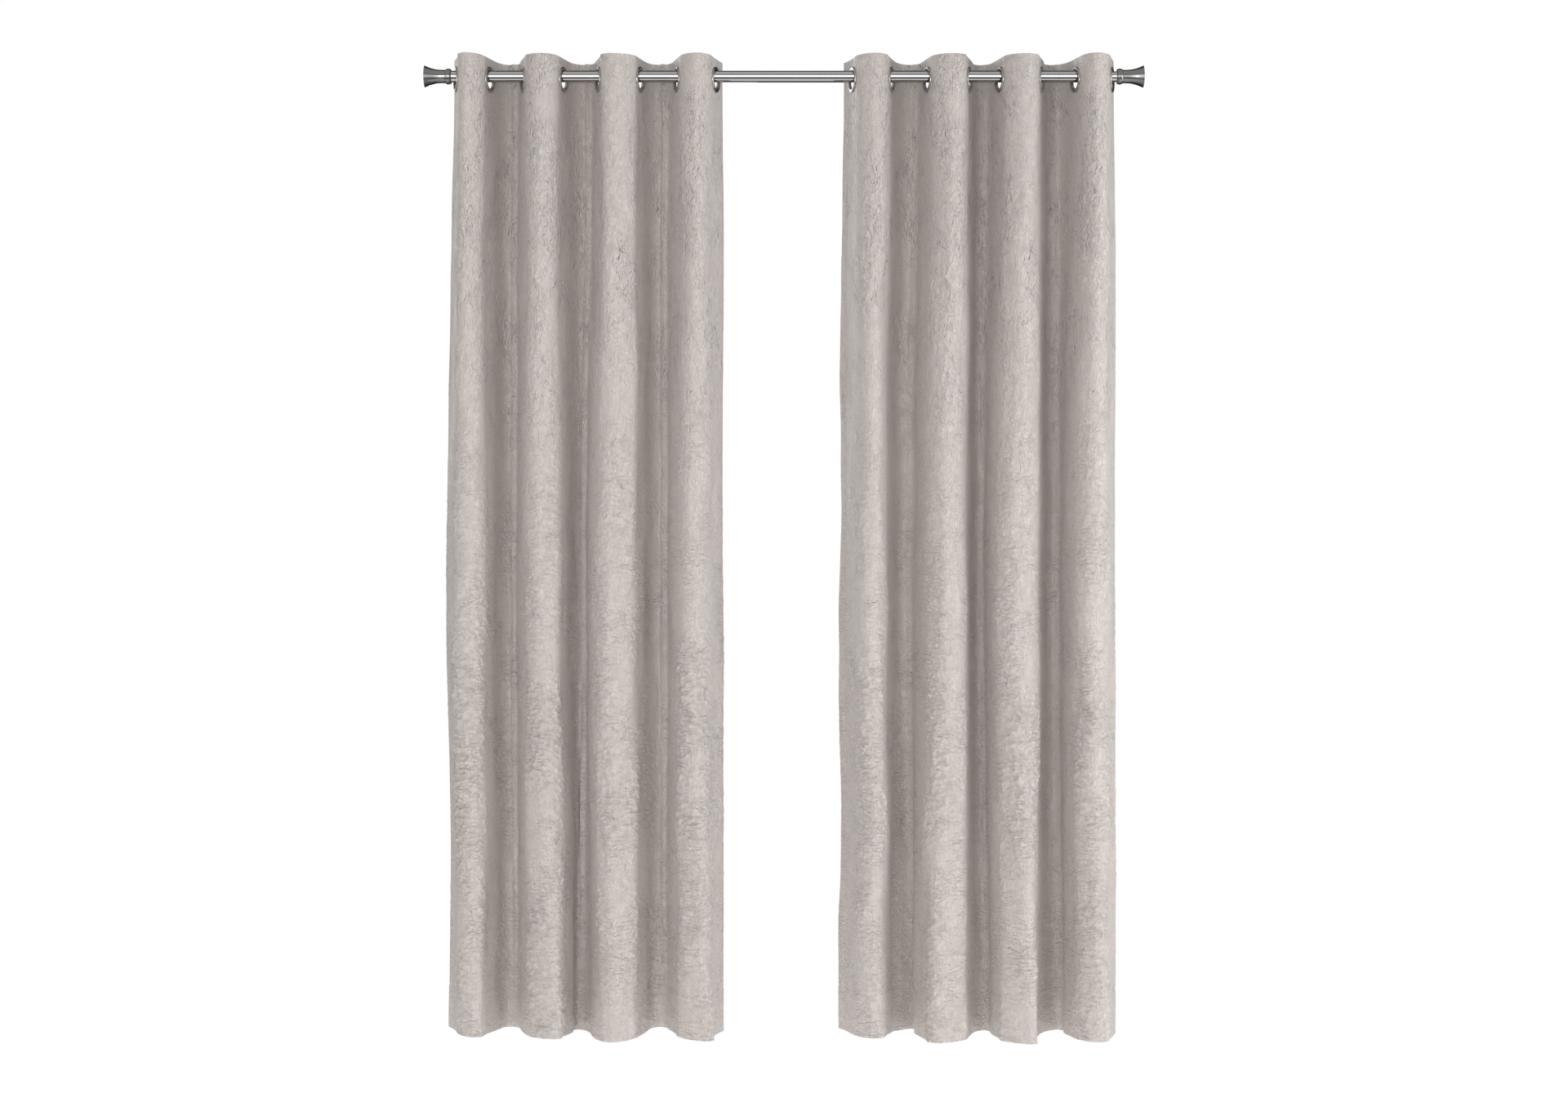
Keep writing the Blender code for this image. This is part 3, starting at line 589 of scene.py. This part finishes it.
def build_panel(side, drift, folds, flaps, seed):
    numbers = range(1, EYELET_COUNT + 1) if side == "left" else range(EYELET_COUNT, 0, -1)
    rings = [box_middle(f"{side}_eyelet_{n}_ring", f"{side}_eyelet_{n}_washer") for n in numbers]
    eyelets = [ring[0] for ring in rings]
    surface, s, t = panel_surface(eyelets, drift, folds, flaps, seed)
    eyelet_s = SIDE_MARGIN + CLOTH_PER_FOLD * np.arange(EYELET_COUNT)
    eyelet_t = PANEL_TOP - rings[0][2]
    surface = add_relief(surface, s, t, eyelet_s, eyelet_t, folds, seed)
    surface = add_hems(surface, s, t)
    panel, point_s = sheet_mesh(f"{side}_curtain", surface, s, t, eyelet_s, eyelet_t)
    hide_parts(f"{side}_panel")
    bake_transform(panel)
    build_eyelets(side, list(zip(numbers, rings)))


# --- Eyelets ------------------------------------------------------------------------------------
def arc_points(centre, radius_x, radius_r, start, end, steps):
    angles = np.linspace(start, end, steps + 1)
    return [(centre[0] + radius_x * cos(a), centre[1] + radius_r * sin(a)) for a in angles]


def eyelet_outline():
    """Front ring: rolled flange and barrel, as (x, radius) about the eyelet's axis."""
    half = (EYELET_RIM - EYELET_HOLE) / 2
    roll = arc_points((SEAT + 0.0004, EYELET_HOLE + half), 0.0020, half, -pi / 2, pi / 2, 12)
    barrel_end = -(SEAT + 0.0022)
    return ([(barrel_end, EYELET_HOLE)] + roll + [(SEAT, EYELET_RIM), (SEAT, EYELET_HOLE + BARREL_WALL),
            (barrel_end, EYELET_HOLE + BARREL_WALL)])


def washer_outline():
    """Back washer: flat on the cloth and rolled behind."""
    half = (EYELET_RIM - WASHER_BORE) / 2
    roll = arc_points((-SEAT - 0.0004, WASHER_BORE + half), -0.0018, half, pi / 2, -pi / 2, 10)
    return [(-SEAT, WASHER_BORE), (-SEAT, EYELET_RIM)] + roll


def build_eyelets(side, rings):
    for index, (number, ring) in enumerate(rings):
        outward = -1 if index % 2 == 0 else 1
        turn = np.arctan2(-cos(WALL_ANGLE), outward * sin(WALL_ANGLE))
        body = {1: "rod", EYELET_COUNT: f"{side}_lead"}.get(number, f"{side}_eyelet_{number}")
        for part, outline in (("ring", eyelet_outline()), ("washer", washer_outline())):
            name = f"{side}_eyelet_{number}_{part}"
            piece = turned(f"{name}_metal", outline, EYELET_METAL_PAINTED_REFLECTION, ring, turn)
            place_piece(piece, body, "eyelet", name)


# --- Rod, finials and brackets ------------------------------------------------------------------
def paint_cad_nodes():
    for name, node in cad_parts.items():
        material = ROD_METAL if "tube" in name else NICKEL
        if "finial" in name:
            material = FINIAL_METAL
        if "screw" in name:
            material = STEEL
        if "guide" in name or "sleeve" in name:
            material = PLASTIC
        node.data.materials.clear()
        node.data.materials.append(material)
        node.data.shade_smooth()
        node.data.set_sharp_from_angle(angle=SHARP_ANGLE)


# --- Camera, lights and stage -------------------------------------------------------------------
LENS = 55.1
CAMERA_DISTANCE = 5.25       # in front of the rod
CAMERA_DROP = 1.033          # below the rod
FLOOR_GAP = 0.16             # from the hem down to the floor
FLOOR_HALF_WIDTH = 4.0
# What shiny metal reflects, from straight down (0) to straight up (1): a place and its brightness.
STUDIO_STRIPES = ((0.00, 0.85), (0.13, 0.70), (0.16, 0.01), (0.42, 0.01), (0.44, 4.0), (0.53, 4.0),
                  (0.545, 0.03), (0.62, 0.03), (0.66, 0.55), (0.80, 0.75), (1.00, 0.85))


def point_at(obj, target):
    direction = Vector(target) - obj.location
    obj.rotation_euler = direction.to_track_quat("-Z", "Y").to_euler()


def add_area(name, place, target, size, power, size_y=None, colour=(1, 1, 1)):
    data = bpy.data.lights.new(name, "AREA")
    data.energy = power
    data.size = size
    data.color = colour
    if size_y is not None:
        data.shape = "RECTANGLE"
        data.size_y = size_y
    light = bpy.data.objects.new(name, data)
    bpy.context.scene.collection.objects.link(light)
    light.location = place
    point_at(light, target)


def build_camera():
    data = bpy.data.cameras.new("camera")
    data.sensor_width = 36
    data.lens = LENS
    camera = bpy.data.objects.new("camera", data)
    camera.location = (AXIS[0], AXIS[1] - CAMERA_DISTANCE, AXIS[2] - CAMERA_DROP)
    camera.rotation_euler = (pi / 2, 0, 0)
    bpy.context.scene.collection.objects.link(camera)
    bpy.context.scene.camera = camera


def floor_material():
    material, _, shader = new_material("pale_floor", (0.9, 0.9, 0.9), 0.9)
    shader.inputs["Emission Color"].default_value = (1, 1, 1, 1)
    shader.inputs["Emission Strength"].default_value = 0.40
    return material


def build_stage():
    z = PANEL_BOTTOM - FLOOR_GAP
    left, right = AXIS[0] - FLOOR_HALF_WIDTH, AXIS[0] + FLOOR_HALF_WIDTH
    front, back = AXIS[1] - 2.4, AXIS[1] + 0.35
    corners = [(left, front, z), (right, front, z), (right, back, z), (left, back, z)]
    floor = mesh_object("floor", corners, [(0, 1, 2, 3)], floor_material(), smooth=False)


def build_world():
    """White behind everything, soft light on the cloth and a striped studio in the metal."""
    world = bpy.data.worlds.new("studio")
    bpy.context.scene.world = world
    world.use_nodes = True
    tree = world.node_tree
    tree.nodes.clear()
    path = add_node(tree, "ShaderNodeLightPath")
    direction = add_node(tree, "ShaderNodeTexCoord").outputs["Generated"]
    split = add_node(tree, "ShaderNodeSeparateXYZ")
    tree.links.new(direction, split.inputs["Vector"])
    rise = add_node(tree, "ShaderNodeMapRange")
    tree.links.new(split.outputs["Z"], rise.inputs["Value"])
    rise.inputs["From Min"].default_value = -1
    stripes = ramp(tree, rise.outputs["Result"], [(place, (grey,) * 3) for place, grey in STUDIO_STRIPES])
    behind = ramp_value(tree, split.outputs["Y"], 0.05, 0.25)
    metal = mix_colours(tree, behind, stripes, (0.03, 0.03, 0.03, 1))
    side = ramp_value(tree, split.outputs["X"], -1, 1)
    around = mix_colours(tree, side, (0.38, 0.38, 0.38, 1), (0.90, 0.90, 0.90, 1))
    soft = mix_colours(tree, path.outputs["Is Glossy Ray"], around, metal)
    seen = mix_colours(tree, path.outputs["Is Camera Ray"], soft, (1, 1, 1, 1))
    background = add_node(tree, "ShaderNodeBackground")
    output = add_node(tree, "ShaderNodeOutputWorld")
    tree.links.new(seen, background.inputs["Color"])
    tree.links.new(background.outputs["Background"], output.inputs["Surface"])
    bpy.context.scene.view_settings.view_transform = "Standard"


def build_lights():
    middle = (AXIS[0], AXIS[1], AXIS[2] - 1.0)
    add_area("key", (AXIS[0] + 2.3, AXIS[1] - 0.85, AXIS[2] - 1.0), middle, 0.45, 18, 2.4, (0.96, 0.99, 1.0))
    add_area("fill", (AXIS[0] - 1.2, AXIS[1] - 4.5, AXIS[2] - 0.8), middle, 0.8, 52)
    add_area("back", (AXIS[0] - 1.5, AXIS[1] + 4.0, AXIS[2] + 0.4), middle, 3.0, 85)


# --- Assembly -----------------------------------------------------------------------------------
# How far each crossing of the rod's line drifts along the rod by half height and by the hem.
LEFT_DRIFT = ((-0.013, 0.000), (0.004, 0.004), (-0.004, 0.004), (0.006, 0.008), (-0.018, -0.010),
              (0.002, 0.002), (-0.008, -0.004), (0.000, 0.000))
RIGHT_DRIFT = ((-0.006, -0.006), (-0.010, -0.006), (-0.014, -0.016), (-0.004, -0.004), (-0.018, -0.006),
               (-0.001, -0.010), (-0.016, -0.012), (0.000, 0.000))
# Each fold from left to right: how far its crest leans at the top, half way down and at the hem,
# how much higher the hem hangs there, and the height of the crease in a valley.
Fold = namedtuple("Fold", "lean_top lean_mid lean_hem hem_rise ridge")
LEFT_FOLDS = (Fold(-0.006, -0.002, 0.010, 0.009, 0), Fold(0.004, 0.004, 0.000, 0.003, 0.010),
              Fold(0.000, -0.004, 0.024, 0.004, 0), Fold(0.004, 0.004, -0.013, -0.003, 0.011),
              Fold(-0.015, -0.012, -0.008, -0.005, 0), Fold(0.001, 0.004, 0.000, 0.003, 0.010),
              Fold(0.002, -0.005, 0.027, -0.001, 0))
RIGHT_FOLDS = (Fold(0.007, 0.000, 0.007, 0.006, 0), Fold(0.006, 0.004, 0.024, -0.001, 0.002),
               Fold(0.009, 0.000, -0.018, -0.006, 0), Fold(-0.002, 0.004, 0.009, -0.004, 0.002),
               Fold(0.008, -0.003, 0.028, -0.007, 0), Fold(-0.008, 0.004, 0.017, -0.003, 0.002),
               Fold(0.000, -0.001, 0.012, -0.003, 0))

build_camera()
build_panel("left", LEFT_DRIFT, LEFT_FOLDS, ((104, 84, 62), (74, 74, 72)), 11)
build_panel("right", RIGHT_DRIFT, RIGHT_FOLDS, ((60, 60, 60), (104, 88, 86)), 77)
paint_cad_nodes()
build_stage()
build_world()
build_lights()
